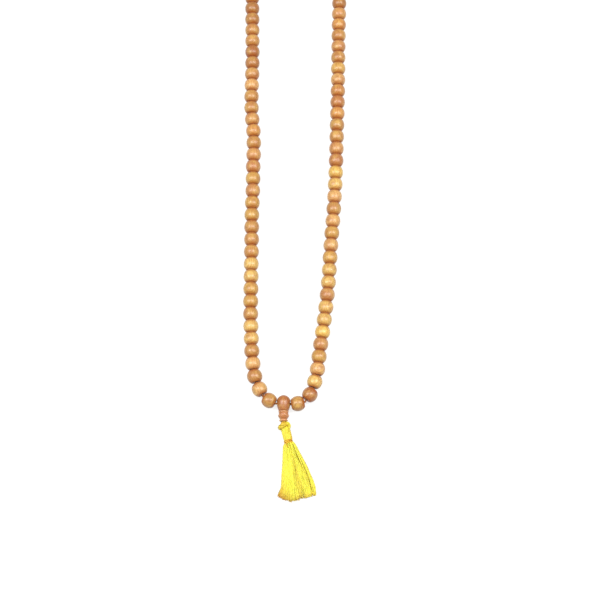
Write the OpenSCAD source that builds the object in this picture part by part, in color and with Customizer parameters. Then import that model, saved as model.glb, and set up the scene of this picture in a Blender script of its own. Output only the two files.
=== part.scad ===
// Mala of 108 turned wooden beads with a three-hole guru bead, a tower bead and a tassel, as it
// lies on a flat surface. All sizes are in millimetres and all angles in degrees.
// +X is to the right, +Y runs from the tassel to the top of the loop and +Z is up. The origin
// lies on the surface, under the middle of the whole mala.

/* [Counting beads] */
// Number of counting beads on the loop, half of them on each side of the guru bead
bead_count = 108; // [100:2:120]
// Diameter of a counting bead
bead_d = 8; // [7.6:0.1:8]
// Length of a counting bead along its bore
bead_len = 6.6; // [6.2:0.1:6.6]
// Diameter of the bore through a counting bead
bead_bore_d = 1.6; // [1.5:0.1:2]
// Radius of the arc of a counting bead's side, along the bore
bead_side_r = 4.6; // [4.2:0.1:6]
// Radius of the ball that rounds off a counting bead's shoulders
bead_shoulder_r = 4.06; // [4.02:0.01:4.2]
// Width of the countersink round each mouth of the bore
bead_sink = 0.25; // [0.1:0.05:0.4]

/* [Guru bead] */
// Diameter of the guru bead at its round top
guru_d = 7.1; // [6.6:0.1:7.2]
// Length of the guru bead from the middle of its round top to the tower bead
guru_drop = 4.7; // [4.2:0.1:5]
// Radius of the arc that narrows the guru bead towards the tower bead
guru_taper_r = 12; // [9:0.5:14]
// Diameter of the bore across the guru bead, where the thread comes in from both sides
cross_bore_d = 2; // [1.9:0.1:2.1]
// Distance of that bore below the middle of the guru bead's round top
cross_bore_down = 0.6; // [0.5:0.1:0.7]
// Diameter of the bore that both ends of the thread leave by, down through guru and tower
pair_bore_d = 2.2; // [2:0.1:2.3]
// Downward slope of the guru and tower bead towards the tassel
droop = 5; // [0:1:6]

/* [Tower bead] */
// Length of the tower bead
tower_len = 5.6; // [5.2:0.1:5.8]
// Diameter of the ring at the tower bead's top
tower_ring_d = 5.3; // [5:0.1:5.6]
// Diameter of the ring at the lower edge of the tower bead's band
tower_band_d = 5.8; // [5.6:0.1:6]
// Diameter of the tower bead's waist
tower_waist_d = 3.4; // [3.2:0.1:3.8]
// Diameter of the tower bead's foot
tower_foot_d = 4.3; // [4:0.1:4.6]

/* [Thread] */
// Diameter of the stringing thread
thread_d = 0.8; // [0.6:0.1:0.8]

/* [Tassel] */
// Width of the overhand knot at the tassel's head
knot_w = 5.3; // [5:0.1:5.6]
// Height of the overhand knot
knot_h = 4.8; // [4.6:0.1:5.2]
// Length of the overhand knot along the tassel
knot_len = 3.9; // [3.6:0.1:4.2]
// Width of the neck between the knot and the tie
neck_w = 4.1; // [3.8:0.1:4.4]
// Thickness of the neck
neck_h = 3.7; // [3.4:0.1:4]
// Diameter of the neck inside the tie
cinch_d = 3.2; // [3:0.1:3.2]
// Outer diameter of the tie
tie_d = 4.5; // [4.4:0.1:4.8]
// Size of the tie along the neck
tie_len = 1.8; // [1.6:0.1:1.9]
// Turns of thread in the tie
tie_turns = 4; // [4:1:5]
// Diameter of the small knot that closes the tie
tie_knot_d = 1.5; // [1.3:0.1:1.7]

/* [Hidden] */

// Clearance between two pieces that are seated on each other
seat_gap = 0.1;
// Overshoot of a cutting shape past the face that it cuts
past = 0.5;

// Columns of a route: places to the right of the guru bead and up the loop from it
X = 0;
Y = 1;
// The left strand, from the guru bead to where it runs straight up
LEFT_WAY = [
    [-3.5, 0.1], [-7.4, 0.8], [-12.2, 6.4], [-14.9, 13], [-16, 20], [-16.7, 27.5], [-17.5, 47],
    [-17.5, 68], [-17.4, 90], [-17.4, 104], [-17, 119], [-16.9, 133], [-16.7, 143], [-17, 154],
    [-18, 164], [-18.2, 176], [-17.9, 196], [-18.2, 223], [-18.4, 238]
];
// The right strand, the same way
RIGHT_WAY = [
    [3.5, 0], [7.4, -0.8], [13.5, 3.8], [16, 10.4], [17.5, 17], [19, 29], [21.3, 45],
    [23.5, 65], [25, 87], [26.7, 108], [27.9, 130], [28.7, 155], [29.4, 178], [29.9, 206],
    [30.5, 230], [30.6, 238]
];
// Samples of a route between one of its places and the next
WAY_STEPS = 8;
// Samples of the half circle at the top of the loop
TOP_STEPS = 36;

// Columns of the slack: a bead's count from the guru bead, and the gap between it and the next one
// The beads lie apart in the bends, where their shoulders meet, and close along the upper strands
SLACK = [[0, 0.86], [1, 1.3], [2, 0.82], [3, 0.4], [6, 0.15], [8, 0.4], [22, 0.48], [25, 0.25],
    [34, 0.15], [46, 0.15], [48, 0.8], [60, 0.8]];

// Columns of the tassel's locks: how far right each one lies at the tie, a third of the way down,
// near its end and at its end, how far down it ends, its width and thickness, and its height
// above the surface at the tie and at its end
AT_TIE = 0;
AT_THIRD = 1;
AT_LOW = 2;
AT_END = 3;
END_Y = 4;
WIDE = 5;
THICK = 6;
TIE_Z = 7;
END_Z = 8;
LOCKS = [
    [1.2, 1.1, 0.8, -1.8, -49.8, 2.6, 2.2, 2.4, 1.1],
    [1.7, 2.4, 2.4, 1.2, -51.0, 3.2, 2.4, 2.9, 1.5],
    [2.3, 3.7, 4.6, 4.1, -52.0, 3.2, 2.6, 3.1, 1.6],
    [2.9, 4.9, 7.0, 7.2, -51.4, 3.0, 2.6, 3.1, 1.5],
    [3.4, 6.2, 10.2, 11.2, -50.2, 3.2, 2.4, 2.9, 1.5],
    [3.9, 7.8, 12.8, 13.9, -49.2, 2.8, 2.4, 2.6, 1.3],
    [4.6, 9.5, 14.9, 15.9, -47.6, 2.8, 2.2, 2.3, 1.1],
    [1.5, 1.9, 2.2, 0.2, -50.4, 3.0, 2.0, 1.4, 1.0],
    [2.1, 3.6, 5.2, 5.6, -51.2, 3.4, 2.0, 1.3, 1.0],
    [2.8, 5.4, 8.6, 9.2, -50.4, 3.4, 2.0, 1.3, 1.0],
    [3.6, 7.4, 12.4, 14.4, -48.4, 3.2, 2.0, 1.4, 1.0]
];
// Shares of a lock's length at which its sections stand
THIRD = 0.33;
LOW = 0.8;
LOCK_STATIONS = [0, 0.15, THIRD, 0.56, LOW, 1];
// Share of its width that a lock has at the tie and at its end
LOCK_TOP_SHARE = 0.62;
LOCK_END_SHARE = 0.85;
// Sides of a lock's section and of the neck's
LOCK_SIDES = 10;
NECK_SIDES = 16;
// Length of the thin slice that stands for a section
slice = 0.05;

// Middle of the knot, of the tie and of the top of the skirt, from the guru bead
KNOT_AT = [0.4, -12.15, 2.8];
TIE_AT = [2.55, -20.9, 2.3];
SKIRT_TOP = [2.8, -22.1, 2.3];
// The strand that wraps the knot: its middle from the knot's, its thickness and its slope
WRAP_AT = [0.2, -0.5, 0];
wrap_d = 2;
wrap_turn = 22;
// Angle of the neck, to the right of straight down
neck_turn = 14;
// Angle of the tie's small knot round the neck, up from its right
tie_knot_turn = 55;

// The route of the loop
function spline(a, b, c, d, t) = 0.5 * (2 * b + (c - a) * t + (2 * a - 5 * b + 4 * c - d) * t ^ 2
    + (3 * b - a - 3 * c + d) * t ^ 3);
function end_over_end(p) = concat([2 * p[0] - p[1]], p, [2 * p[len(p) - 1] - p[len(p) - 2]]);
function curve(p) = let (q = end_over_end(p)) concat(
    [for (i = [1:len(q) - 3], j = [0:WAY_STEPS - 1])
        spline(q[i - 1], q[i], q[i + 1], q[i + 2], j / WAY_STEPS)],
    [p[len(p) - 1]]);
function reversed(p) = [for (i = [len(p) - 1:-1:0]) p[i]];
function lengths(p) = [for (i = 0, s = 0; i < len(p); i = i + 1,
    s = i < len(p) ? s + norm(p[i] - p[i - 1]) : s) s];
function last(p) = p[len(p) - 1];

function slack(i) = lookup(min(i, bead_count - i), SLACK);
function sum(v) = v * [for (i = v) 1];

left_curve = curve(LEFT_WAY);
right_curve = curve(RIGHT_WAY);
top_r = (last(RIGHT_WAY)[X] - last(LEFT_WAY)[X]) / 2;
top_x = (last(RIGHT_WAY)[X] + last(LEFT_WAY)[X]) / 2;
string_len = bead_count * bead_len + sum([for (i = [0:bead_count]) slack(i)]);
straight = (string_len - last(lengths(left_curve)) - last(lengths(right_curve)) - PI * top_r) / 2;
top_y = last(LEFT_WAY)[Y] + straight;
top_arc = [for (i = [0:TOP_STEPS]) let (a = 180 - 180 * i / TOP_STEPS)
    [top_x + top_r * cos(a), top_y + top_r * sin(a)]];
route = concat(left_curve, top_arc, reversed(right_curve));
route_s = lengths(route);
x_by_s = [for (i = [0:len(route) - 1]) [route_s[i], route[i][X]]];
y_by_s = [for (i = [0:len(route) - 1]) [route_s[i], route[i][Y]]];

// The guru bead's spot puts the origin under the middle of the whole mala
skirt_low = min([for (lock = LOCKS) lock[END_Y]]);
guru_spot = [-top_x, -(top_y + top_r + bead_d / 2 + skirt_low) / 2, 0];
// Middle of the guru bead's round top: the drooping bead rests on the side that it narrows along
guru_set_back = 0.2;
GURU_AT = guru_spot
    + [0, guru_set_back, guru_taper_r - (guru_taper_r - guru_d / 2) * cos(droop)];

function on_route(s) = guru_spot + [lookup(s, x_by_s), lookup(s, y_by_s), bead_d / 2];
bead_s = [for (i = 1, s = slack(0) + bead_len / 2; i <= bead_count;
    s = s + bead_len + slack(i), i = i + 1) s];
bead_at = [for (s = bead_s) on_route(s)];
bead_way = [for (s = bead_s) let (d = on_route(s + bead_len / 2) - on_route(s - bead_len / 2))
    d / norm(d)];

module counting_bead() {
    bore_r = bead_bore_d / 2;
    rotate_extrude()
        difference() {
            intersection() {
                translate([bead_d / 2 - bead_side_r, 0]) circle(bead_side_r);
                circle(bead_shoulder_r);
                translate([bore_r, -bead_len / 2]) square([bead_d, bead_len]);
            }
            for (side = [-1, 1])
                polygon([
                    [bore_r - past, side * (bead_len / 2 + past)],
                    [bore_r + bead_sink + past, side * (bead_len / 2 + past)],
                    [bore_r - past, side * (bead_len / 2 - bead_sink - past)]
                ]);
        }
}

module string_of_beads(from, to)
    for (i = [from - 1:to - 1])
        translate(bead_at[i])
            rotate([0, 90, atan2(bead_way[i][Y], bead_way[i][X])])
                counting_bead();

module beads_left() color("burlywood") string_of_beads(1, bead_count / 2);
module beads_right() color("burlywood") string_of_beads(bead_count / 2 + 1, bead_count);

// Local +Z of the guru and tower bead runs down towards the tassel
module on_guru_axis(down) translate(GURU_AT) rotate([90 + droop, 0, 0]) translate([0, 0, down])
    children();
function guru_point(right, down) = GURU_AT + [right, -down * cos(droop), -down * sin(droop)];

module guru_outline() {
    guru_r = guru_d / 2;
    intersection() {
        circle(guru_r);
        translate([0, -guru_r]) square(guru_r);
    }
    intersection() {
        translate([guru_r - guru_taper_r, 0]) circle(guru_taper_r);
        square([guru_r, guru_drop]);
    }
}

module guru_bead() color("sienna") on_guru_axis(0) difference() {
    rotate_extrude() guru_outline();
    translate([0, 0, cross_bore_down]) {
        rotate([0, 90, 0]) cylinder(d = cross_bore_d, h = guru_d + 2 * past, center = true, $fn = 32);
        cylinder(d = pair_bore_d, h = guru_drop, $fn = 32);
    }
}

tower_top = guru_drop + seat_gap;
// How far down from the tower's top its band starts and ends, its waist starts and its foot stands
band_top = 0.75;
band_end = 2.5;
waist_from = 4;
foot_at = 4.95;
// Radii of the turned edges, and of the dome between the band and the waist
ring_edge_r = 0.35;
band_edge_r = 0.3;
dome_r = 1.9;
// How far the band's side and the dome stand back from the rings
band_back = 0.2;
dome_back = 0.1;

module tower_outline() {
    ring_r = tower_ring_d / 2;
    band_r = tower_band_d / 2;
    foot_r = tower_foot_d / 2;
    square([ring_r - ring_edge_r, 2 * ring_edge_r]);
    translate([ring_r - ring_edge_r, ring_edge_r]) circle(ring_edge_r);
    polygon([
        [0, ring_edge_r], [ring_r - band_back, ring_edge_r], [ring_r - band_back, band_top],
        [band_r - band_back, band_end], [0, band_end]
    ]);
    translate([band_r - band_edge_r, band_end]) circle(band_edge_r);
    intersection() {
        translate([band_r - dome_back - dome_r, band_end]) circle(dome_r);
        translate([0, band_end - dome_back]) square([band_r, dome_r + dome_back]);
    }
    translate([0, waist_from]) square([tower_waist_d / 2, tower_len - waist_from]);
    translate([foot_r - ring_edge_r, foot_at]) circle(ring_edge_r);
    translate([0, foot_at]) square([foot_r - ring_edge_r, tower_len - foot_at]);
}

module tower_bead() color("peru") on_guru_axis(tower_top)
    rotate_extrude() difference() {
        tower_outline();
        translate([0, -past]) square([pair_bore_d / 2, tower_len + 2 * past]);
    }

// The thread: up from the knot, out of the guru bead to the left, round the loop and back
thread_r = thread_d / 2;
THREAD_SIDES = 6;
// Distance of each end of the thread from the axis of guru and tower, and depth of its end
leg_x = 0.45;
leg_end = tower_top + tower_len + 1.5;
// Each end's way up from the knot and out through the guru bead's side: how far out and down it is
OUT = 0;
DOWN = 1;
LEG = [[leg_x, leg_end], [leg_x, tower_top], [leg_x, 2.2], [0.55, 1.2], [1, 0.65], [2.2, 0.55],
    [3.3, 0.8]];
bead_mouths = [for (i = [0:bead_count - 1], end = [-1, 1]) bead_at[i] + end * bead_way[i] * bead_len / 2];
thread_way = concat([for (p = LEG) guru_point(-p[OUT], p[DOWN])], bead_mouths,
    [for (p = reversed(LEG)) guru_point(p[OUT], p[DOWN])]);

function ring(p, ahead, r, sides) = let (
    side = cross(ahead, [0, 0, 1]) / norm(cross(ahead, [0, 0, 1])),
    over = cross(side, ahead) / norm(ahead))
    [for (k = [0:sides - 1]) p + r * (cos(360 * k / sides) * side + sin(360 * k / sides) * over)];

module tube(way, r, sides) {
    n = len(way);
    ahead = [for (i = [0:n - 1]) way[min(i + 1, n - 1)] - way[max(i - 1, 0)]];
    polyhedron(
        points = [for (i = [0:n - 1]) each ring(way[i], ahead[i], r, sides)],
        faces = concat(
            [[for (k = [sides - 1:-1:0]) k]],
            [for (i = [0:n - 2], k = [0:sides - 1]) let (a = i * sides + k,
                b = i * sides + (k + 1) % sides) each [[a, b, a + sides], [b, b + sides, a + sides]]],
            [[for (k = [0:sides - 1]) (n - 1) * sides + k]]));
}

module thread() color("saddlebrown") tube(thread_way, thread_r, THREAD_SIDES);

// A thin slice of a lock or of the neck, across its way
module section(at, turn, wide, high, sides)
    translate(guru_spot + at) rotate([90, 0, turn]) scale([wide, high, 1])
        cylinder(d = 1, h = slice, center = true, $fn = sides);

function lock_x(lock, t) = lookup(t, [[0, lock[AT_TIE]], [THIRD, lock[AT_THIRD]],
    [LOW, lock[AT_LOW]], [1, lock[AT_END]]]);
// The locks start along the tie's lower edge, which is square to the neck
function lock_top_y(lock) = SKIRT_TOP[Y] + (lock[AT_TIE] - SKIRT_TOP[X]) * tan(neck_turn);
function lock_at(lock, t) = [lock_x(lock, t), lock_top_y(lock) * (1 - t) + lock[END_Y] * t,
    lock[TIE_Z] * (1 - t) + lock[END_Z] * t];
function lock_share(t) = lookup(t, [[0, LOCK_TOP_SHARE], [THIRD, 1], [LOW, 1],
    [1, LOCK_END_SHARE]]);

module lock_section(lock, t) {
    ahead = lock_at(lock, t + 0.02) - lock_at(lock, t - 0.02);
    section(lock_at(lock, t), atan2(ahead[X], -ahead[Y]), lock[WIDE] * lock_share(t),
        lock[THICK] * lock_share(t), LOCK_SIDES);
}

module tassel_lock(lock)
    for (i = [1:len(LOCK_STATIONS) - 1])
        hull() {
            lock_section(lock, LOCK_STATIONS[i - 1]);
            lock_section(lock, LOCK_STATIONS[i]);
        }

// The knot's body, and the strand that wraps it and stands out at its right
module knot() translate(guru_spot + KNOT_AT) {
    scale([knot_w, knot_len, knot_h]) sphere(d = 1, $fn = 20);
    translate(WRAP_AT) rotate([90, 0, wrap_turn])
        rotate_extrude($fn = 20) translate([(knot_w - wrap_d) / 2, 0]) circle(d = wrap_d, $fn = 10);
}

// The neck tapers into the tie and widens again inside the skirt
MIDDLE = 0;
ACROSS = 1;
DEEP = 2;
NECK = [
    [KNOT_AT + [0.3, -1, -0.4], neck_w, neck_h],
    [TIE_AT + [-0.4, 1.6, 0], neck_w, neck_h],
    [TIE_AT + [-0.25, 1, 0], cinch_d, cinch_d],
    [SKIRT_TOP, cinch_d, cinch_d],
    [SKIRT_TOP + [0.8, -3, 0], 5, 3.6],
    [SKIRT_TOP + [3, -12, -0.3], 8, 2.2]
];

module neck()
    for (i = [1:len(NECK) - 1])
        hull() for (station = [NECK[i - 1], NECK[i]])
            section(station[MIDDLE], neck_turn, station[ACROSS], station[DEEP], NECK_SIDES);

// The knot is hollow where both ends of the thread are tied in
tied_in = 2;

module tassel() color("gold") difference() {
    union() {
        knot();
        neck();
        for (lock = LOCKS) tassel_lock(lock);
    }
    on_guru_axis(tower_top + tower_len) translate([0, 0, -past])
        cylinder(d = pair_bore_d, h = tied_in + past, $fn = 16);
}

module tassel_tie() color("goldenrod") translate(guru_spot + TIE_AT) rotate([90, 0, neck_turn]) {
    inner_r = cinch_d / 2 + seat_gap;
    turn_r = (tie_d / 2 - inner_r) / 2;
    rotate_extrude()
        for (i = [0:tie_turns - 1])
            translate([inner_r + turn_r, tie_len * ((i + 0.5) / tie_turns - 0.5)]) circle(turn_r);
    rotate(tie_knot_turn) translate([inner_r + tie_knot_d / 2, 0, 0]) sphere(d = tie_knot_d);
}

beads_left();
beads_right();
guru_bead();
tower_bead();
thread();
tassel();
tassel_tie();
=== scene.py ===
"""A mala of turned wooden beads with its guru bead, tower bead and yellow tassel, lying flat.

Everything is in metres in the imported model's frame: +X to the right, +Y from the tassel to the
top of the loop, +Z up from the surface. Lengths written in millimetres are multiplied by MM.
"""
import math
import random

import bpy
import numpy as np
from mathutils import Matrix, Vector


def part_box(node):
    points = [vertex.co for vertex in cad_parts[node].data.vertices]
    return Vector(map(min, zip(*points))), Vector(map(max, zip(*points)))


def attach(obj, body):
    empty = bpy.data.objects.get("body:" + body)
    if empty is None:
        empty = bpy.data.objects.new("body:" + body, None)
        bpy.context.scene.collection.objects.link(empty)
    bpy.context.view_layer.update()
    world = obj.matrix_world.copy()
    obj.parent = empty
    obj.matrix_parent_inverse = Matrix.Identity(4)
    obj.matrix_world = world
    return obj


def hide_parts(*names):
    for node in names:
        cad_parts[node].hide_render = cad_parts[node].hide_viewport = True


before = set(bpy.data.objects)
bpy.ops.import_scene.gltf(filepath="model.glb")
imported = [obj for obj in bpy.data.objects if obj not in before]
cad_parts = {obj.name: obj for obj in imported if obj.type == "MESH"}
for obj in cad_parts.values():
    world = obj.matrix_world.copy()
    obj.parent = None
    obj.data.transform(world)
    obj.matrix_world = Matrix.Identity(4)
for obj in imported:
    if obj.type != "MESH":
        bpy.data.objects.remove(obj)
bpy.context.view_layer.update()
MM = 0.001
SEED = 108
chance = random.Random(SEED)

# The guru bead's spot is the place on the surface where the loop's two strands meet, this far
# below the bead's top edge, in millimetres
SPOT_BELOW_TOP = 3.75
guru_low, guru_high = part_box("guru_bead")
SPOT = Vector(((guru_low.x + guru_high.x) / 2, guru_high.y - SPOT_BELOW_TOP * MM, 0))


def from_spot(right, up, high):
    """A place given in millimetres from the guru bead's spot."""
    return SPOT + Vector((right, up, high)) * MM


# Camera, floor and light

# The photograph's view: the place it aims at, in millimetres from the guru bead's spot, how many
# millimetres away the camera stands, over the tassel's end, and how steeply it looks down
CAMERA_AIM = (8.495, 55.878, 4)
CAMERA_AWAY = 909.96
CAMERA_STEEP = math.radians(71)
SENSOR_MM, LENS_MM = 36, 103.3

# The studio, in metres and watts; each softbox hangs this far out, up the loop and over the table
FLOOR_SIZE = 40
SOFTBOX_OUT, SOFTBOX_ALONG, SOFTBOX_OVER = 1.2, -0.1, 2.2
SOFTBOX_WIDE, SOFTBOX_LONG = 0.4, 2
SOFTBOX_WATTS = 68
ROOM_LIGHT = 0.25


def look_at(place, target):
    return (target - place).to_track_quat("-Z", "Y").to_euler()


def camera():
    aim = from_spot(*CAMERA_AIM)
    away = Vector((0, -math.cos(CAMERA_STEEP), math.sin(CAMERA_STEEP)))
    place = aim + away * CAMERA_AWAY * MM
    bpy.ops.object.camera_add(location=place, rotation=look_at(place, aim))
    view = bpy.context.object
    view.data.sensor_width = SENSOR_MM
    view.data.lens = LENS_MM
    view.data.clip_end = 100
    bpy.context.scene.camera = view


def studio():
    """An opal light table under two wide softboxes, left and right overhead, in a dim room."""
    bpy.ops.mesh.primitive_plane_add(size=FLOOR_SIZE, location=(0, 0, 0))
    floor = bpy.context.object
    floor.name = "light_table"
    floor.data.materials.append(opal_acrylic())
    for side in (-1, 1):
        place = Vector((side * SOFTBOX_OUT, SOFTBOX_ALONG, SOFTBOX_OVER))
        bpy.ops.object.light_add(type="AREA", location=place,
            rotation=look_at(place, Vector((0, 0, 0))))
        box = bpy.context.object
        box.data.shape = "RECTANGLE"
        box.data.size = SOFTBOX_WIDE
        box.data.size_y = SOFTBOX_LONG
        box.data.energy = SOFTBOX_WATTS
    room = bpy.data.worlds.new("white_room")
    room.use_nodes = True
    background = room.node_tree.nodes["Background"]
    background.inputs["Color"].default_value = linear("#F6F9FF")
    background.inputs["Strength"].default_value = ROOM_LIGHT
    bpy.context.scene.world = room
    bpy.context.scene.view_settings.view_transform = "Standard"


# Materials

# The Mix node has several sockets of the same name, so those for colours are given by number
MIX_SHARE, MIX_UNDER, MIX_OVER = 0, 6, 7
MIXED = 2
# The Wave node's scale at which its bands lie 1 mm apart
WAVE_SCALE = 0.314


def linear(code):
    """An sRGB hex colour as linear RGBA."""
    parts = [int(code[i:i + 2], 16) / 255 for i in (1, 3, 5)]
    return [p / 12.92 if p <= 0.04045 else ((p + 0.055) / 1.055) ** 2.4 for p in parts] + [1]


def add(tree, kind, inputs, **settings):
    """One shader node with its settings, and its inputs linked or set."""
    node = tree.nodes.new("ShaderNode" + kind)
    for name, value in settings.items():
        setattr(node, name, value)
    for socket, value in inputs.items():
        if isinstance(value, bpy.types.NodeSocket):
            tree.links.new(value, node.inputs[socket])
        else:
            node.inputs[socket].default_value = value
    return node


def blank(name):
    """A material with its tree and its Principled shader."""
    material = bpy.data.materials.new(name)
    material.use_nodes = True
    tree = material.node_tree
    return material, tree, tree.nodes["Principled BSDF"]


def opal_acrylic():
    # Opal acrylic sheet lit from below: an even white that leaves only faint contact shadows
    material, tree, shader = blank("opal_acrylic_sheet")
    shader.inputs["Base Color"].default_value = linear("#7C7C7C")
    shader.inputs["Roughness"].default_value = 0.9
    shader.inputs["Specular IOR Level"].default_value = 0.1
    shader.inputs["Emission Color"].default_value = linear("#FFFFFF")
    shader.inputs["Emission Strength"].default_value = 0.8
    return material


def waxed_wood(name, ring_mm, ring_depth):
    """Turned wood under a thin coat of wax; each bead carries its own tone and its own grain."""
    # Sandalwood-like wood turned on a lathe: fine pores, faint rings, redder heartwood in patches
    # and a soft sheen from the wax. The grain attribute is the place in the wood, in millimetres
    material, tree, shader = blank(name)
    tone = add(tree, "Attribute", {}, attribute_name="tone").outputs["Color"]
    grain = add(tree, "Attribute", {}, attribute_name="grain").outputs["Vector"]
    end = add(tree, "Attribute", {}, attribute_name="end").outputs["Fac"]

    # Heartwood and sapwood lie in patches some 4 mm across
    patch = add(tree, "TexNoise", {"Vector": grain, "Scale": 0.26, "Detail": 2.5,
        "Roughness": 0.55})
    heart = add(tree, "MapRange", {"Value": patch.outputs["Fac"], "From Min": 0.5,
        "From Max": 0.68, "To Min": 0, "To Max": 0.5})
    sap = add(tree, "MapRange", {"Value": patch.outputs["Fac"], "From Min": 0.48,
        "From Max": 0.33, "To Min": 0, "To Max": 0.4})
    redder = add(tree, "Mix", {MIX_SHARE: heart.outputs[0], MIX_UNDER: tone,
        MIX_OVER: linear("#9E5F36")}, data_type="RGBA")
    paler = add(tree, "Mix", {MIX_SHARE: sap.outputs[0], MIX_UNDER: redder.outputs[MIXED],
        MIX_OVER: linear("#CAA75B")}, data_type="RGBA")

    # Growth rings cross the bead as wavering bands
    rings = add(tree, "TexWave", {"Vector": grain, "Scale": WAVE_SCALE / ring_mm,
        "Distortion": 3.5, "Detail": 2, "Detail Scale": 0.8}, bands_direction="X")
    ring_dark = add(tree, "MapRange", {"Value": rings.outputs["Fac"], "From Min": 0.25,
        "From Max": 1, "To Min": 0, "To Max": ring_depth})
    ringed = add(tree, "Mix", {MIX_SHARE: ring_dark.outputs[0],
        MIX_UNDER: paler.outputs[MIXED], MIX_OVER: linear("#7A461C")}, data_type="RGBA")

    # Fibres and pores run along the grain. They are drawn 0.25 mm wide and 2 mm long, coarser
    # than in real sandalwood, so that they show
    along_grain = add(tree, "Mapping", {"Vector": grain, "Scale": (4, 4, 0.5)})
    fibre = add(tree, "TexNoise", {"Vector": along_grain.outputs[0], "Scale": 1, "Detail": 3,
        "Roughness": 0.65})
    pore = add(tree, "MapRange", {"Value": fibre.outputs["Fac"], "From Min": 0.53,
        "From Max": 0.72, "To Min": 0, "To Max": 0.6})
    porous = add(tree, "Mix", {MIX_SHARE: pore.outputs[0], MIX_UNDER: ringed.outputs[MIXED],
        MIX_OVER: linear("#6A3816")}, data_type="RGBA")

    # The ends round the bore are painted a deeper orange brown as the shade where beads meet,
    # over their darker end grain, and are made duller there so that the painted shade stays dark
    ends = add(tree, "MapRange", {"Value": end, "From Min": 0.6, "From Max": 1.0, "To Min": 0,
        "To Max": 0.8})
    wood = add(tree, "Mix", {MIX_SHARE: ends.outputs[0], MIX_UNDER: porous.outputs[MIXED],
        MIX_OVER: linear("#8E440A")}, data_type="RGBA")
    tree.links.new(wood.outputs[MIXED], shader.inputs["Base Color"])
    gloss = add(tree, "MapRange", {"Value": end, "From Min": 0.6, "From Max": 0.95,
        "To Min": 0.48, "To Max": 0.1})
    tree.links.new(gloss.outputs[0], shader.inputs["Specular IOR Level"])

    # The wax fills the fibres unevenly, which varies its sheen and leaves a faint relief
    sheen = add(tree, "MapRange", {"Value": fibre.outputs["Fac"], "To Min": 0.32,
        "To Max": 0.46})
    tree.links.new(sheen.outputs[0], shader.inputs["Roughness"])
    shader.inputs["IOR"].default_value = 1.5
    shader.inputs["Coat Weight"].default_value = 0.08
    shader.inputs["Coat Roughness"].default_value = 0.25
    shader.inputs["Sheen Weight"].default_value = 0.08
    shader.inputs["Sheen Roughness"].default_value = 0.5
    relief = add(tree, "Bump", {"Height": fibre.outputs["Fac"], "Strength": 0.12,
        "Distance": 0.05 * MM})
    tree.links.new(relief.outputs[0], shader.inputs["Normal"])
    return material


def yarn_material(name, lit, deep, rough, twist_mm):
    """Twisted yarn; the lay attribute gives its plies, and a second attribute its share of the
    deep colour, partly dye and partly painted shade.
    """
    # Viscose yarn is silky, with soft long highlights, and cotton thread is rougher and matte.
    # Both are dyed right through, and painted shade makes their colour warmer where they lie deep
    material, tree, shader = blank(name)
    dye_and_shade = add(tree, "Attribute", {}, attribute_name="dye_and_shade").outputs["Fac"]
    lay = add(tree, "Attribute", {}, attribute_name="lay").outputs["Vector"]
    shader.inputs["Roughness"].default_value = rough
    shader.inputs["Sheen Weight"].default_value = 0.2
    shader.inputs["Sheen Roughness"].default_value = 0.4

    # The plies wind round the yarn once in twist_mm
    part = add(tree, "SeparateXYZ", {0: lay})
    turn = add(tree, "Math", {0: part.outputs[2], 1: 2 * math.pi / twist_mm},
        operation="MULTIPLY")
    cosine = add(tree, "Math", {0: turn.outputs[0]}, operation="COSINE")
    sine = add(tree, "Math", {0: turn.outputs[0]}, operation="SINE")
    across = add(tree, "Math", {0: part.outputs[0], 1: cosine.outputs[0]},
        operation="MULTIPLY")
    ply = add(tree, "Math", {0: part.outputs[1], 1: sine.outputs[0], 2: across.outputs[0]},
        operation="MULTIPLY_ADD")
    relief = add(tree, "Bump", {"Height": ply.outputs[0], "Strength": 0.5,
        "Distance": 0.06 * MM})
    tree.links.new(relief.outputs[0], shader.inputs["Normal"])

    # Painted shade: the grooves between the plies take the deeper colour
    groove = add(tree, "MapRange", {"Value": ply.outputs[0], "From Min": -1, "From Max": 0.2,
        "To Min": 0.22, "To Max": 0})
    depth = add(tree, "Math", {0: groove.outputs[0], 1: dye_and_shade}, operation="ADD", use_clamp=True)
    colour = add(tree, "Mix", {MIX_SHARE: depth.outputs[0], MIX_UNDER: linear(lit),
        MIX_OVER: linear(deep)}, data_type="RGBA")
    tree.links.new(colour.outputs[MIXED], shader.inputs["Base Color"])
    return material


# Modelling tools

# Points closer than this are one
WELD = 0.001 * MM


def only(*pieces):
    """Select these pieces and no other, the first one active."""
    bpy.ops.object.select_all(action="DESELECT")
    for piece in pieces:
        piece.select_set(True)
    bpy.context.view_layer.objects.active = pieces[0]


def merged(piece):
    """Merge a piece's doubles and point its faces outwards."""
    only(piece)
    bpy.ops.object.mode_set(mode="EDIT")
    bpy.ops.mesh.select_all(action="SELECT")
    bpy.ops.mesh.remove_doubles(threshold=WELD)
    bpy.ops.mesh.normals_make_consistent(inside=False)
    bpy.ops.object.mode_set(mode="OBJECT")


def turned(name, outline, sides):
    """A piece turned about Z: a ring of the outline's first point, drawn from point to point."""
    bpy.ops.object.select_all(action="DESELECT")
    radius, height = outline[0]
    bpy.ops.mesh.primitive_circle_add(vertices=sides, radius=radius * MM,
        location=(0, 0, height * MM))
    piece = bpy.context.object
    piece.name = name
    bpy.ops.object.transform_apply()
    bpy.ops.object.mode_set(mode="EDIT")
    bpy.ops.mesh.select_all(action="SELECT")
    for next_radius, next_height in outline[1:] + outline[:1]:
        bpy.ops.mesh.extrude_region_move(
            TRANSFORM_OT_translate={"value": (0, 0, (next_height - height) * MM)})
        share = next_radius / radius
        bpy.ops.transform.resize(value=(share, share, 1),
            center_override=(0, 0, next_height * MM))
        radius, height = next_radius, next_height
    bpy.ops.object.mode_set(mode="OBJECT")
    merged(piece)
    return piece


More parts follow.
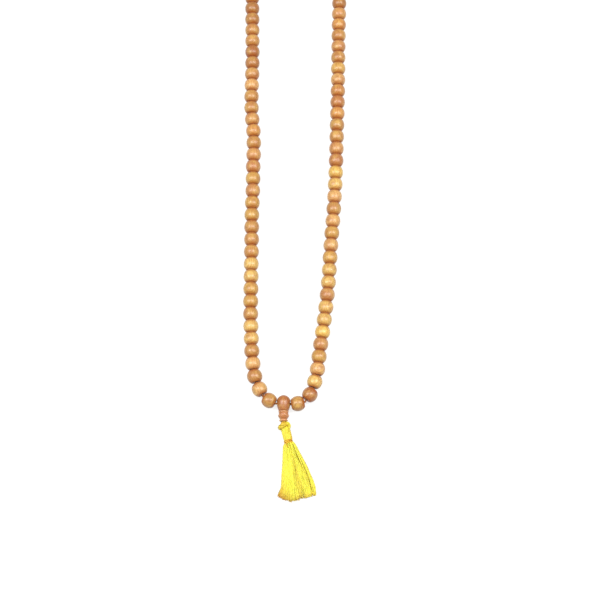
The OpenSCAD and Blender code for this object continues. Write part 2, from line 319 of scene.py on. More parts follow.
def drill(piece, width, start, end):
    """Bore a round hole between two places."""
    way = end - start
    bpy.ops.object.select_all(action="DESELECT")
    bpy.ops.mesh.primitive_cylinder_add(vertices=32, radius=width / 2, depth=way.length,
        location=(start + end) / 2, rotation=way.to_track_quat("Z", "Y").to_euler())
    bit = bpy.context.object
    cut = piece.modifiers.new("bore", "BOOLEAN")
    cut.object = bit
    cut.solver = "EXACT"
    only(piece)
    bpy.ops.object.modifier_apply(modifier=cut.name)
    bpy.data.objects.remove(bit)


def paint(piece, name, kind, values):
    """Give each point of a piece a value that its material reads."""
    field = {"FLOAT": "value", "FLOAT_VECTOR": "vector", "FLOAT_COLOR": "color"}[kind]
    layer = piece.data.attributes.new(name, kind, "POINT")
    layer.data.foreach_set(field, np.asarray(values, dtype=np.float32).reshape(-1))


def points_of(piece):
    """The places of a piece's points, one row each."""
    points = np.empty(len(piece.data.vertices) * 3)
    piece.data.vertices.foreach_get("co", points)
    return points.reshape(-1, 3)


def arc(middle_r, middle_h, radius, start, end, steps):
    """Outline points round a middle, angles in degrees up from the radius direction."""
    angles = [math.radians(start + (end - start) * i / steps) for i in range(steps + 1)]
    return [(middle_r + radius * math.cos(a), middle_h + radius * math.sin(a)) for a in angles]


def finished(piece, node, material, angle=40):
    """Smooth, clothe and hand over a piece; node is the CAD node that it stands for, if any."""
    only(piece)
    bpy.ops.object.shade_smooth_by_angle(angle=math.radians(angle))
    piece.data.materials.clear()
    piece.data.materials.append(material)
    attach(piece, "root")
    if node:
        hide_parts(node)


# Counting beads

# Each bead's tone, charted from the guru bead up: p palest yellow, y light golden,
# l light orange, g golden, o orange, m pinkish brown, h honey brown, b brown, r reddish brown,
# d dark reddish. The last 19 of each string lie past the photograph's edge, in the same mixture
TONES = {"p": "#CBA552", "y": "#C5A058", "l": "#C3965B", "g": "#B98E47", "o": "#B78142",
    "m": "#B3814B", "h": "#AE8044", "b": "#9C6C38", "r": "#A66F3E", "d": "#965E32"}
LEFT_TONES = "hlhlhyyhggyyhhhggmgrmhomhhlmbdhhbbb" "mogylrmhgdylmobghyo"
RIGHT_TONES = "hdylgmpyymyyglglhlyprmhhorolghmhomb" "ylmghrbymglohmygrom"

# A bead's radius, half its length, its bore's radius, how deep and wide the bore is countersunk,
# and the radius of its flat end, in millimetres
BEAD_R, BEAD_HALF = 4, 3.3
BEAD_BORE_R, BEAD_SINK = 0.8, 0.25
BEAD_END_R = 2.4
BEAD_SIDES = 36
# Its side is an arc of SIDE_R whose middle lies SIDE_PAST past the bead's axis, and it stays
# inside a ball of BALL_R; its flat end's edge is softened over EDGE
SIDE_R, SIDE_PAST, BALL_R, EDGE = 4.6, 0.6, 4.06, 0.06
# The bead's end away from the guru bead gets this much more painted shade
UPPER_END_SHADE = 1.2
# How far the first bead of a string grows towards the guru bead, how far any other end may grow
# towards its neighbour, and the gap that is left between the two
GURU_REACH = {"beads_left": 0.06, "beads_right": 0.2}
MOST_REACH, END_GAP = 0.2, 0.08


def bead_outline():
    """Up the rounded side, over the flat end's softened edge, and back down the bore."""
    side = []
    for i in range(19):
        height = (BEAD_HALF - EDGE) * math.sin(math.radians(-90 + 10 * i))
        barrel = math.sqrt(SIDE_R ** 2 - height ** 2) - SIDE_PAST
        ball = math.sqrt(BALL_R ** 2 - height ** 2)
        side.append((min(barrel, ball), height))
    last_r = side[-1][0]
    mouth_r = BEAD_BORE_R + BEAD_SINK
    top = [(last_r - 0.1, BEAD_HALF), (mouth_r + 0.1, BEAD_HALF),
        (mouth_r - 0.05, BEAD_HALF - 0.08), (BEAD_BORE_R, BEAD_HALF - BEAD_SINK)]
    bottom = [(r, -h) for r, h in reversed(top)]
    return side + top + bottom


def bead_places(node):
    """Middle and direction of each bead of a string, in order up from the guru bead."""
    model = node.copy()
    model.data = node.data.copy()
    bpy.context.collection.objects.link(model)
    only(model)
    bpy.ops.object.mode_set(mode="EDIT")
    bpy.ops.mesh.select_all(action="SELECT")
    bpy.ops.mesh.remove_doubles(threshold=WELD)
    bpy.ops.mesh.separate(type="LOOSE")
    bpy.ops.object.mode_set(mode="OBJECT")
    places = []
    for part in list(bpy.context.selected_objects):
        points = points_of(part)
        middle = (points.min(0) + points.max(0)) / 2
        # A bead's own axis is the one along which its points are spread unlike the other two
        spread, ways = np.linalg.eigh(np.cov((points - middle).T))
        own = 2 if spread[2] - spread[1] > spread[1] - spread[0] else 0
        places.append((Vector(middle), Vector(ways[:, own])))
        bpy.data.objects.remove(part)
    ordered = []
    here = from_spot(0, 0, BEAD_R)
    while places:
        nearest = min(places, key=lambda place: (place[0] - here).length)
        places.remove(nearest)
        middle, way = nearest
        if way.dot(middle - here) < 0:
            way = -way
        ordered.append((middle, way))
        here = middle
    return ordered


def reach_to(place, other):
    """How far a bead's end may grow to meet its neighbour's, in millimetres."""
    gap = (place[0] - other[0]).length / MM - 2 * BEAD_HALF
    bend = place[1].angle(other[1])
    return min(max((gap - BEAD_END_R * bend - END_GAP) / 2, 0), MOST_REACH)


def string_of_beads(name, places, tones, pattern, wood):
    """One string: copies of the pattern bead, each with its own size, tone and grain."""
    beads = []
    for i, ((middle, way), tone) in enumerate(zip(places, tones)):
        bead = pattern.copy()
        bead.data = pattern.data.copy()
        bpy.context.collection.objects.link(bead)
        local = points_of(bead)
        grain_way = Vector([chance.gauss(0, 1) for _ in range(3)])
        spin = grain_way.to_track_quat("Z", "Y").to_matrix()
        shift = [chance.uniform(-60, 60) for _ in range(3)]
        paint(bead, "grain", "FLOAT_VECTOR", (local / MM) @ np.array(spin) + shift)
        shade = chance.uniform(0.94, 1.06)
        colour = [c * shade for c in linear(TONES[tone])[:3]] + [1]
        paint(bead, "tone", "FLOAT_COLOR", [colour] * len(local))
        # The end attribute carries painted shade where each bead meets its neighbours
        share = local[:, 2] / (BEAD_HALF * MM)
        paint(bead, "end", "FLOAT", np.abs(share) * np.where(share > 0, UPPER_END_SHADE, 1))

        # A bead is up to 1% smaller than the largest, and its ends meet those of its neighbours
        size = chance.uniform(0.99, 1)
        short = BEAD_HALF * (1 - size)
        below = short + (reach_to(places[i], places[i - 1]) if i else GURU_REACH[name])
        above = short + reach_to(places[i], places[min(i + 1, len(places) - 1)])
        for point in bead.data.vertices:
            share = abs(point.co.z) / (BEAD_HALF * MM)
            point.co.x *= size
            point.co.y *= size
            point.co.z *= size
            point.co.z += (above if point.co.z > 0 else -below) * share * MM
        rest = Vector((middle.x, middle.y, middle.z - BEAD_R * MM * (1 - size)))
        turn = way.to_track_quat("Z", "Y").to_matrix().to_4x4()
        roll = Matrix.Rotation(chance.uniform(0, 2 * math.pi), 4, "Z")
        bead.data.transform(Matrix.Translation(rest) @ turn @ roll)
        beads.append(bead)
    only(*beads)
    bpy.ops.object.join()
    string = bpy.context.object
    string.name = "strung_" + name
    finished(string, name, wood)


# Guru bead and tower bead

# The two beads' common axis droops towards the tower bead, so that the guru bead rests on the
# long curve by which it narrows, TAPER_R in radius. GURU_DROP is from the guru bead's middle to
# its lower end, and the tower bead begins TOWER_GAP below that
DROOP = math.radians(5)
GURU_R, GURU_DROP, TAPER_R = 3.55, 4.7, 12
TOWER_GAP = 0.1
GURU_AT = from_spot(0, 0.2, TAPER_R - (TAPER_R - GURU_R) * math.cos(DROOP))
# The guru bead's three bores meet this far below its middle. The lower one is a little wider
# than the two at its sides, and the drill's ends lie clear of its foot and its sides
BORES_MEET = 0.6
LOWER_BORE, SIDE_BORE = 2.2, 2.0
PAST_FOOT, PAST_SIDE = 6, 5
TURNED_SIDES = 56
# Painted highlights make the rings' crests paler, up to this share and over this many millimetres
CREST_HIGHLIGHT_TONE = "#E0A878"
CREST_HIGHLIGHT, CREST_HIGHLIGHT_WIDTH = 0.7, 0.3


def guru_point(right, down):
    """A place in the guru bead's middle plane, down its drooping axis, in millimetres."""
    return GURU_AT + Vector((right, -down * math.cos(DROOP), -down * math.sin(DROOP))) * MM


def stand_on_axis(piece, down):
    """Turn a piece that was modelled about Z, top down, on to the guru bead's axis."""
    piece.data.transform(Matrix.Translation(guru_point(0, down))
        @ Matrix.Rotation(math.pi / 2 + DROOP, 4, "X"))


def guru_bead():
    """The three-hole bead: a round top that narrows to the tower bead."""
    crown = arc(0, 0, GURU_R, -84, 0, 20)
    taper = [(GURU_R - TAPER_R + math.sqrt(TAPER_R ** 2 - h * h), h)
        for h in (0.6, 1.2, 1.8, 2.4, 3.0, 3.6, 4.1, 4.5)]
    foot = [(2.52, GURU_DROP - 0.06), (2.42, GURU_DROP), (1.32, GURU_DROP),
        (1.12, GURU_DROP - 0.2), (0.37, GURU_DROP - 0.2)]
    bead = turned("guru_turned", crown + taper + foot, TURNED_SIDES)
    stand_on_axis(bead, 0)
    drill(bead, LOWER_BORE * MM, guru_point(0, BORES_MEET), guru_point(0, PAST_FOOT))
    drill(bead, SIDE_BORE * MM, guru_point(-PAST_SIDE, BORES_MEET),
        guru_point(PAST_SIDE, BORES_MEET))
    return bead


def tower_bead():
    """The turned column: ring, flaring band, second ring, dome, waist and foot."""
    ring = [(1.28, 0)] + arc(2.32, 0.4, 0.4, -90, 62, 10)
    band = [(2.36, 0.84), (2.36, 0.94), (2.45, 1.06), (2.5, 1.4), (2.56, 1.9), (2.5, 2.06),
        (2.42, 2.14)]
    second_ring = arc(2.52, 2.5, 0.38, -76, 66, 10) + [(2.58, 2.92)]
    dome = arc(0.85, 2.55, 1.86, 14, 54, 9)
    waist = [(1.8, 4.22), (1.72, 4.36), (1.72, 4.52)]
    foot = arc(1.88, 5.0, 0.4, -66, 76, 9) + [(1.86, 5.46), (1.76, 5.6), (1.25, 5.6)]
    bore = [(1.1, 5.44), (1.1, 0.18)]
    outline = ring + band + second_ring + dome + waist + foot + bore
    bead = turned("tower_turned", outline, TURNED_SIDES)
    stand_on_axis(bead, GURU_DROP + TOWER_GAP)
    return bead


def dress_turned(bead, node, tone, wood, spin, shift, shade_from, shade_to, crests=()):
    """Tone, grain, painted shade and painted highlights for a single turned piece.

    Painted shade towards its lower end begins and is full at its two given shade depths, and
    painted highlights lie along the crests given, all in millimetres down the axis from the guru
    bead's middle.
    """
    back = Matrix.Rotation(-math.pi / 2 - DROOP, 4, "X") @ Matrix.Translation(-GURU_AT)
    local = np.array([back @ Vector(p) for p in points_of(bead)]) / MM
    turn = Matrix.Rotation(math.radians(spin), 3, "Y")
    paint(bead, "grain", "FLOAT_VECTOR", local @ np.array(turn) + shift)
    # Painted highlights: the crests of the rings and the foot are painted paler
    crest_highlight = np.zeros(len(local))
    for crest in crests:
        crest_highlight += CREST_HIGHLIGHT * np.exp(-((local[:, 2] - crest) / CREST_HIGHLIGHT_WIDTH) ** 2)
    tones = np.outer(1 - crest_highlight, linear(tone)) + np.outer(crest_highlight, linear(CREST_HIGHLIGHT_TONE))
    paint(bead, "tone", "FLOAT_COLOR", tones)
    # Painted shade towards the piece's lower end, where it meets the next piece
    end = np.clip((local[:, 2] - shade_from) / (shade_to - shade_from), 0, 0.85)
    paint(bead, "end", "FLOAT", end)
    finished(bead, node, wood)


# Yarns and thread

# The radius of one tassel yarn in millimetres, and the share of it that its cut end has
YARN_R, CUT_END = 0.17, 0.6
# Each ply of a thread is this much deeper in colour than the one before
PLY_SHADE = 0.15
# The lengths of neighbouring strands start this far apart, so that their twists don't line up
TWIST_SHIFT = 0.37
# Yarns in a bundle turn by this angle from one to the next, as seeds do in a sunflower's head
SEED_TURN = 2.4
# Half of the thread's way: up from the knot through tower and guru bead and out of its side, as
# (millimetres out from the axis, millimetres down from the guru bead's middle)
LEG = [(0.45, 11.9), (0.45, 4.8), (0.45, 2.2), (0.55, 1.2), (1, 0.65), (2.2, 0.55), (3.3, 0.8)]


def yarn(name, strands, node, material, fineness):
    """Strands of yarn as one piece: each is (points, radii in mm, dye and painted shade from 0 to
    1) by point.

    A strand's section has 4 sides at a fineness of 0, and two more for each step of it.
    """
    curve = bpy.data.curves.new(name, "CURVE")
    curve.dimensions = "3D"
    curve.bevel_depth = MM
    curve.bevel_resolution = fineness
    for points, radii, _ in strands:
        spline = curve.splines.new("POLY")
        spline.points.add(len(points) - 1)
        spline.points.foreach_set("co", [c for p in points for c in (*p, 1)])
        spline.points.foreach_set("radius", radii)
    piece = bpy.data.objects.new(name, curve)
    bpy.context.collection.objects.link(piece)
    only(piece)
    bpy.ops.object.convert(target="MESH")
    piece = bpy.context.object
    sides = 4 + 2 * fineness
    lay, dye_and_shade = [], []
    for k, (points, _, tints) in enumerate(strands):
        length = TWIST_SHIFT * k
        for i, point in enumerate(points):
            length += (point - points[max(i - 1, 0)]).length / MM
            for side in range(sides):
                turn = 2 * math.pi * side / sides
                lay.append((math.cos(turn), math.sin(turn), length))
                dye_and_shade.append(tints[i])
    paint(piece, "lay", "FLOAT_VECTOR", lay)
    paint(piece, "dye_and_shade", "FLOAT", dye_and_shade)
    bpy.ops.object.mode_set(mode="EDIT")
    bpy.ops.mesh.select_all(action="SELECT")
    bpy.ops.mesh.fill_holes(sides=0)
    bpy.ops.mesh.normals_make_consistent(inside=False)
    bpy.ops.object.mode_set(mode="OBJECT")
    finished(piece, node, material, angle=80)


def smooth(points, steps):
    """A smooth way through points, with steps between one and the next."""
    ends = [2 * points[0] - points[1], *points, 2 * points[-1] - points[-2]]
    way = []
    for a, b, c, d in zip(ends, ends[1:], ends[2:], ends[3:]):
        for i in range(steps):
            t = i / steps
            way.append(0.5 * (2 * b + (c - a) * t + (2 * a - 5 * b + 4 * c - d) * t * t
                + (3 * b - a - 3 * c + d) * t ** 3))
    return way + [points[-1]]


def even(points, step):
    """The same way in steps of one length."""
    way, left = [points[0]], step
    for a, b in zip(points, points[1:]):
        length = (b - a).length
        while left <= length:
            way.append(a.lerp(b, left / length))
            left += step
        left -= length
    return way


def frames(way):
    """Two directions across a way at each of its points, which turn with it and no more."""
    last = len(way) - 1
    across = []
    side = None
    for i in range(len(way)):
        ahead = (way[min(i + 1, last)] - way[max(i - 1, 0)]).normalized()
        if side is None:
            # Any direction will do that isn't the way's own
            side = ahead.cross(Vector((0.11, 0.07, 1)))
        side = (side - ahead * side.dot(ahead)).normalized()
        across.append((side, ahead.cross(side)))
    return across


def at(marks, t):
    """The value at a share t of the way along evenly spaced marks."""
    place = min(max(t, 0), 1) * (len(marks) - 1)
    i = min(int(place), len(marks) - 2)
    return marks[i] + (marks[i + 1] - marks[i]) * (place - i)


def plies(way, count, offset, radius, turn_mm, dye_and_shade):
    """The plies of a twisted thread that follows a way in even steps."""
    strands = []
    step = (way[1] - way[0]).length / MM
    across = frames(way)
    for ply in range(count):
        points = []
        for i, (place, (side, over)) in enumerate(zip(way, across)):
            turn = 2 * math.pi * (ply / count + i * step / turn_mm)
            out = side * math.cos(turn) + over * math.sin(turn)
            points.append(place + out * offset * MM)
        strands.append((points, [radius] * len(way), [dye_and_shade + PLY_SHADE * ply] * len(way)))
    return strands


def bundle(way, spread, count, turns, dye_and_shade, steps=17, curl=0.0, uneven=0.0, tip=0.0):
    """Loose yarns side by side along a way; spread is the bundle's radius along it, in mm.

    The share of the deep colour, partly dye and partly painted shade, is a number, or a function
    of the share of the way. Curl makes the yarns' ends wander, uneven makes them end at different
    lengths, and tip is how much deeper in colour they grow over their last tenth, which is partly
    painted shade at the cut ends and partly their own browner colour.
    """
    across = frames(way)
    strands = []
    for k in range(count):
        off = math.sqrt((k + 0.5) / count)
        stop = 1 - uneven * abs(chance.gauss(0, 1))
        start = chance.uniform(-0.3, 0.3)
        wave = chance.uniform(0, 6.3)
        pace = chance.uniform(7, 13)
        shade = chance.uniform(-0.06, 0.06)
        points, radii, dye_and_shade_values = [], [], []
        for s in range(steps):
            t = stop * s / (steps - 1)
            side, over = across[round(t * (len(way) - 1))]
            turn = SEED_TURN * k + start + 2 * math.pi * turns * t
            out = at(spread, t) * off
            stray = curl * t ** 3
            sideways = out * math.cos(turn) + stray * math.sin(wave + pace * t)
            upwards = out * math.sin(turn) + stray * math.cos(wave + pace * t)
            place = at(way, t) + (side * sideways + over * upwards) * MM
            place.z = max(place.z, (YARN_R + 0.02) * MM)
            points.append(place)
            radii.append(YARN_R if s < steps - 1 else YARN_R * CUT_END)
            tint = dye_and_shade(t) if callable(dye_and_shade) else dye_and_shade
            # Over the last tenth, tip adds painted shade at the cut ends, with some of their own
            # browner colour
            dye_and_shade_values.append(min(max(tint + shade + tip * max(t - 0.9, 0) * 10, 0), 1))
        strands.append((points, radii, dye_and_shade_values))
    return strands


def thread_route(left, right):
    """The thread: up from the knot through tower and guru bead, round the loop and back."""
    mouths = []
    for middle, way in left:
        mouths += [middle - way * BEAD_HALF * MM, middle + way * BEAD_HALF * MM]
    for middle, way in reversed(right):
        mouths += [middle + way * BEAD_HALF * MM, middle - way * BEAD_HALF * MM]
    return ([guru_point(-out, down) for out, down in LEG] + mouths
        + [guru_point(out, down) for out, down in reversed(LEG)])


# Tassel

# Places in the tassel are in millimetres from the guru bead's spot. The tie's middle lies
# TIE_HIGH over the surface, and the neck's direction is turned from the guru bead's
TIE_HIGH = 2.3
TIE_AT = Vector((2.55, -20.9, TIE_HIGH))
NECK_TURN = math.radians(14)

# The skirt's left and right edge and the height of its top, at the shares of the way down in DOWN
DOWN = [0, 0.04, 0.2, 0.4, 0.6, 0.8, 0.92, 1]
SKIRT_LEFT = [0.6, -0.35, -0.4, -0.7, -1.1, -1.2, -2.2, -3.4]
SKIRT_RIGHT = [4.5, 5.9, 8.1, 11.2, 13.8, 16.1, 16.8, 16.6]
SKIRT_HIGH = [3.9, 3.9, 3.9, 3.5, 3.2, 2.9, 2.7, 2.6]
# It lies in three groups with a groove between them. For each group: how many bundles lie on
# top, its left and right edge, and how much more golden it is at GOLDEN_DOWN of the way down
GROUPS = [
    (10, SKIRT_LEFT, [3.3, 4.1, 4.7, 5.8, 5.9, 8.2, 9.4, 9.6], 0),
    (5, [3.3, 4.1, 4.6, 5.6, 6.9, 9.3, 10.5, 10.8],
        [3.7, 4.1, 4.7, 8.5, 11.1, 13.3, 14.3, 14.5], 0),
    (3, [4.1, 5.0, 5.5, 9.4, 12.0, 14.0, 14.8, 15.0], SKIRT_RIGHT, 0.3),
]
GOLDEN_DOWN, GOLDEN_LONG = 0.4, 0.14
TOP_YARNS, TOP_HALF = 24, 0.6
# The layers under the top one: their height, from 0 on the surface to 1 on top, their number of
# bundles, and half a bundle's thickness. They keep UNDER_INSET inside the skirt's edges, and
# their yarns are painted deeper in colour as the shade they lie in
UNDER_LAYERS = [(0.4, 13, 0.65), (0.03, 14, 0.6)]
UNDER_YARNS, UNDER_INSET, UNDER_PAINTED_SHADE = 12, 0.4, 0.28
LOOSE_YARNS = 14
# How a bundle opens from its top to its end, and the least gap to the edge of its group
BUNDLE_OPENS = (0.5, 0.75, 0.95, 1.05, 1.15, 1.25)
BUNDLE_INSET = 0.15
# The skirt comes out of the tie TIED_R in radius, and lies fully open from this share down
TIED_R, OPEN_DOWN = 1.65, 0.3
# The hem: where the skirt ends at each place across
HEM_X = [-3.2, -1.7, 0.9, 3.4, 6.5, 10, 13.6, 16.2]
HEM_Y = [-49.4, -50.4, -51.3, -51.8, -51.3, -50.1, -49.4, -48.3]
# It is more golden at its left corner, less so over CORNER_WIDE to the right, and the colour
# begins at CORNER_DOWN of the way down and grows over CORNER_LONG
CORNER_GOLDEN, CORNER_X, CORNER_WIDE = 0.34, -3.4, 9
CORNER_DOWN, CORNER_LONG = 0.76, 0.14

# The neck runs from inside the knot to inside the skirt, and the tie draws it in. Along it are
# given how wide and deep its bundles stand from its middle, and how far each of them spreads
NECK_TOP = Vector((0.8, -13.4, 2.45))
NECK_END = Vector((3.2, -22.6, 2.3))
NECK_BUNDLES = 18
NECK_WIDE = [1.7, 1.85, 1.87, 1.85, 1.85, 1.85, 1.8, 1.3, 1.1, 0.8]
NECK_DEEP = [1.3, 1.4, 1.42, 1.42, 1.4, 1.4, 1.35, 1.2, 1.0, 0.7]
NECK_SPREAD = [0.42, 0.45, 0.45, 0.42, 0.36, 0.3]

# The overhand knot: its band's middle and tilt, half the band's width, slant and depth, the way
# and the spread of the lobe at its right, and the spread of the collar of yarns above them
BAND_AT = Vector((-0.4, -12.95, 2.8))
BAND_TILT = math.radians(20)
BAND_WIDE, BAND_SLANT, BAND_DEEP = 1.4, 0.2, 1.3
BAND_SPREAD, BAND_STEPS = [1.23, 1.23], 36
LOBE = [(1.2, -10.9, 3.4), (2.3, -11.3, 3.7), (2.95, -12.2, 3.3), (2.9, -13.4, 2.8),
    (2.3, -14.8, 2.5)]
LOBE_SPREAD = [0.53, 0.65, 0.71, 0.65, 0.53]
COLLAR_SPREAD = [1.33, 1.73, 2.0, 1.9]

# The tie: half its width and depth, its upper end and its length along the neck, its turns, the
# steps in each, and the length of a step of its two-ply yarn. The places of its small knot and
# of its two cut ends are given from its middle, with Y along the neck
TIE_WIDE, TIE_DEEP = 2.1, 2.05
TIE_UP, TIE_LONG = 0.8, 1.8
TIE_TURNS, TIE_STEPS = 5, 24
TIE_STEP = 0.16 * MM
TIE_KNOT_AT, TIE_KNOT_SIZE = Vector((1.25, 0.1, 2.25)), 0.19
TIE_ENDS = [
    [(-1.3, -0.5, 1.75), (-1.25, -1.3, 2.2), (-1.15, -2.3, 2.15), (-1.2, -3.2, 2.0)],
    [(1.5, 0.1, 2.0), (1.9, 0.5, 2.15), (2.05, 0.9, 1.9), (2.2, 1.25, 1.5)],
]


def along(t, marks):
    """Between the marks of DOWN, eased so that nothing bends at a corner."""
    ease = 0.06 * min(1, 6 * t)
    near = [min(t + ease * s, 1) for s in (-1, -0.5, 0, 0.5, 1)]
    return float(np.mean(np.interp(near, DOWN, marks)))


def skirt_place(t, x, end_y, layer, half):
    """A place in the skirt: layer is 1 on top and 0 on the surface, half the bundle's radius."""
    left, right = along(t, SKIRT_LEFT), along(t, SKIRT_RIGHT)
    inward = 1 - (2 * (x - left) / (right - left) - 1) ** 2
    dome = math.sqrt(max(inward, 0.04))
    bound = TIED_R * dome
    high = along(t, SKIRT_HIGH) * (0.55 + 0.45 * dome)
    tied = max(1 - t / OPEN_DOWN, 0)
    top = (TIE_HIGH + bound) * tied + high * (1 - tied) - half
    low = (TIE_HIGH - bound) * tied + half * 2 * (1 - tied)
    top_y = TIE_AT.y + (x - TIE_AT.x) * math.tan(NECK_TURN) * (1 - t)
    return Vector((x, top_y * (1 - t) + end_y * t, low + (top - low) * layer))


def skirt_bundle(left, right, share, layer, half, count, sway, dye_and_shade):
    """One bundle of the skirt; share is how far it lies from the left edge to the right one."""
    spread = [half * s for s in BUNDLE_OPENS]
    end_x = left[-1] * (1 - share) + right[-1] * share
    end_y = np.interp(end_x, HEM_X, HEM_Y) + chance.uniform(-0.6, 0.3)
    way = []
    for i in range(25):
        t = i / 24
        first, last = along(t, left), along(t, right)
        inset = min(at(spread, t) + BUNDLE_INSET, (last - first) / 2)
        x = (first + inset) * (1 - share) + (last - inset) * share
        place = skirt_place(t, x, end_y, layer, half)
        place.x += sway * math.sin(3.1 * t + 9 * share) * t
        way.append(from_spot(*place))
    corner = CORNER_GOLDEN * max(0, 1 - ((end_x - CORNER_X) / CORNER_WIDE) ** 2)
    turns = chance.uniform(0.4, 1.1)
    return bundle(way, spread, count, turns,
        lambda t: dye_and_shade(t) + corner * min(max(t - CORNER_DOWN, 0) / CORNER_LONG, 1),
        curl=0.25, uneven=0.012, tip=0.3)


def skirt_strands():
    """Bundles side by side on top, two layers under them, and a few loose yarns."""
    strands = []
    for count, left, right, golden in GROUPS:
        for i in range(count):
            share = i / (count - 1)
            # A group's outer bundles lie lower and are painted deeper in colour, as shade in the
            # grooves
            edge = abs(2 * share - 1) ** 3
            shade = chance.uniform(0, 0.06) + 0.22 * edge
            layer = chance.uniform(0.86, 1) - 0.2 * edge
            sway = chance.uniform(-0.12, 0.12)
            strands += skirt_bundle(left, right, share, layer, TOP_HALF, TOP_YARNS, sway,
                lambda t: shade + golden * math.exp(-((t - GOLDEN_DOWN) / GOLDEN_LONG) ** 2))
    under_left = [x + UNDER_INSET for x in SKIRT_LEFT]
    under_right = [x - UNDER_INSET for x in SKIRT_RIGHT]
    for layer, count, half in UNDER_LAYERS:
        for i in range(count):
            strands += skirt_bundle(under_left, under_right, i / (count - 1), layer, half,
                UNDER_YARNS, sway=0, dye_and_shade=lambda t: UNDER_PAINTED_SHADE)
    for _ in range(LOOSE_YARNS):
        share = chance.uniform(0, 1)
        sway = chance.uniform(-0.7, 0.7)
        strands += skirt_bundle(SKIRT_LEFT, SKIRT_RIGHT, share, layer=1.06, half=0.1, count=1,
            sway=sway, dye_and_shade=lambda t: 0.05)
    return strands


def neck_strands():
    """The neck's bundles, which wind a little round its middle."""
    strands = []
    sideways = Vector((math.cos(NECK_TURN), math.sin(NECK_TURN), 0))
    for i in range(NECK_BUNDLES):
        around = 2 * math.pi * i / NECK_BUNDLES
        way = []
        for s in range(21):
            t = s / 20
            turn = around + 0.4 * t
            wide = sideways * at(NECK_WIDE, t) * math.cos(turn)
            deep = Vector((0, 0, at(NECK_DEEP, t) * math.sin(turn)))
            way.append(from_spot(*(NECK_TOP.lerp(NECK_END, t) + wide + deep)))
        # The neck's right side is more golden
        golden = 0.2 + 0.4 * max(math.cos(around + 0.2), 0) ** 3
        strands += bundle(way, NECK_SPREAD, count=13, turns=0.4, dye_and_shade=golden)
    return strands


def knot_strands():
    """The overhand knot: its slanting band, the lobe at its right, and the yarns above them."""
    tilt = Matrix.Rotation(BAND_TILT, 3, "Z")
    band = []
    for i in range(BAND_STEPS + 1):
        a = 2 * math.pi * i / BAND_STEPS - math.pi / 2
        out = Vector((BAND_WIDE * math.cos(a), BAND_SLANT * math.sin(a),
            BAND_DEEP * math.sin(a)))
        band.append(from_spot(*(BAND_AT + tilt @ out)))
    strands = bundle(band, BAND_SPREAD, count=60, turns=1.0, dye_and_shade=0.48, steps=BAND_STEPS + 1)
    lobe = smooth([from_spot(*place) for place in LOBE], 6)
    strands += bundle(lobe, LOBE_SPREAD, count=24, turns=0.6, dye_and_shade=0.25, steps=19)
    # The collar is painted deep in colour as the shadow of the tower bead's foot
    collar = [from_spot(0.15 + 0.05 * i, -10.25 - 0.3 * i, 2.7) for i in range(10)]
    strands += bundle(collar, COLLAR_SPREAD, count=50, turns=0.3, dye_and_shade=0.7, steps=10)
    return strands


def on_tie(place):
    """A place given from the tie's middle, with Y along the neck."""
    return from_spot(*(TIE_AT + Matrix.Rotation(NECK_TURN, 3, "Z") @ Vector(place)))


def tie_strands():
    """The winding round the neck, of two-ply yarn, with its small knot and its cut ends."""
    way = []
    for i in range(TIE_TURNS * TIE_STEPS + 1):
        angle = 2 * math.pi * i / TIE_STEPS + math.radians(60)
        # The turns cross a little, as they do when wound by hand
        cross = 0.12 * math.sin(angle * 0.5)
        up = TIE_UP - TIE_LONG * i / (TIE_TURNS * TIE_STEPS) + cross
        way.append(on_tie((TIE_WIDE * math.cos(angle), up, TIE_DEEP * math.sin(angle))))
    strands = plies(even(way, TIE_STEP), count=2, offset=0.13, radius=0.15, turn_mm=1.3,
        dye_and_shade=0.1)

    # The small knot is a trefoil
    knot = []
    for i in range(49):
        a = 2 * math.pi * i / 48
        bend = Vector((math.sin(a) + 2 * math.sin(2 * a), -math.sin(3 * a),
            math.cos(a) - 2 * math.cos(2 * a))) * TIE_KNOT_SIZE
        knot.append(on_tie(TIE_KNOT_AT + bend))
    strands += plies(even(knot, TIE_STEP), count=2, offset=0.11, radius=0.14, turn_mm=1.3,
        dye_and_shade=0.7)
    for end in TIE_ENDS:
        route = smooth([on_tie(place) for place in end], 5)
        strands += plies(even(route, TIE_STEP), count=2, offset=0.11, radius=0.13, turn_mm=1.3,
            dye_and_shade=0.3)
    return strands


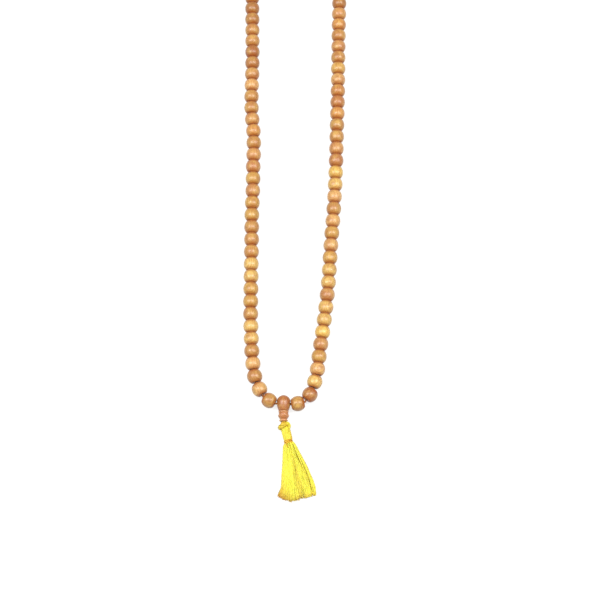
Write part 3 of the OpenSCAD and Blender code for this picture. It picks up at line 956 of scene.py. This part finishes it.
def core_strands():
    """Plain cores inside the skirt, the neck and the knot, so that no gap shows through, painted
    deeper as shade.
    """
    strands = []
    for share in np.linspace(0.08, 0.92, 12):
        way = []
        for t in np.linspace(0.06, 0.96, 12):
            x = along(t, SKIRT_LEFT) * (1 - share) + along(t, SKIRT_RIGHT) * share
            way.append(from_spot(*skirt_place(t, x, end_y=-48.4, layer=0.1, half=0.6)))
        strands.append((way, [0.5] + [0.6] * 11, [0.3] * 12))
    neck = [from_spot(*NECK_TOP.lerp(NECK_END, i / 8)) for i in range(9)]
    strands.append((neck, [1.4] * 6 + [1.1] * 3, [0.3] * 9))
    knot = [from_spot(0.3, -10.9 - 0.4 * i, 2.8) for i in range(7)]
    strands.append((knot, [1.3, 1.6, 1.8, 1.8, 1.8, 1.6, 1.3], [0.4] * 7))
    return strands


# The mala

camera()
studio()

bead_wood = waxed_wood("waxed_sandalwood", ring_mm=0.9, ring_depth=0.3)
guru_wood = waxed_wood("waxed_reddish_sandalwood", ring_mm=0.7, ring_depth=0.3)

left_places = bead_places(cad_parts["beads_left"])
right_places = bead_places(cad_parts["beads_right"])
pattern_bead = turned("pattern_bead", bead_outline(), BEAD_SIDES)
string_of_beads("beads_left", left_places, LEFT_TONES, pattern_bead, bead_wood)
string_of_beads("beads_right", right_places, RIGHT_TONES, pattern_bead, bead_wood)
bpy.data.objects.remove(pattern_bead)

dress_turned(guru_bead(), "guru_bead", "#9A5E30", guru_wood, spin=20, shift=(3, 7, 1),
    shade_from=3.6, shade_to=5.2)
dress_turned(tower_bead(), "tower_bead", "#A96C3C", guru_wood, spin=35, shift=(13, 2, 5),
    shade_from=9.6, shade_to=11.2, crests=(5.15, 7.25, 9.7))

brown_thread = yarn_material("twisted_brown_thread", "#A8642C", "#7A4218", rough=0.8,
    twist_mm=0.5)
thread_way = even(smooth(thread_route(left_places, right_places), 3), 0.4 * MM)
thread_plies = plies(thread_way, count=3, offset=0.29, radius=0.29, turn_mm=2.4, dye_and_shade=0.2)
yarn("twisted_thread", thread_plies, "thread", brown_thread, fineness=0)

lemon_yarn = yarn_material("lemon_viscose_yarn", "#D5D330", "#B87E10", rough=0.5, twist_mm=0.9)
golden_yarn = yarn_material("golden_viscose_yarn", "#DAAE14", "#AC6C0A", rough=0.5,
    twist_mm=0.5)
yarn("tassel_skirt", skirt_strands(), "tassel", lemon_yarn, fineness=1)
yarn("tassel_neck", neck_strands(), None, lemon_yarn, fineness=1)
yarn("tassel_knot", knot_strands(), None, lemon_yarn, fineness=1)
yarn("tassel_core", core_strands(), None, lemon_yarn, fineness=2)
yarn("tie_winding", tie_strands(), "tassel_tie", golden_yarn, fineness=1)
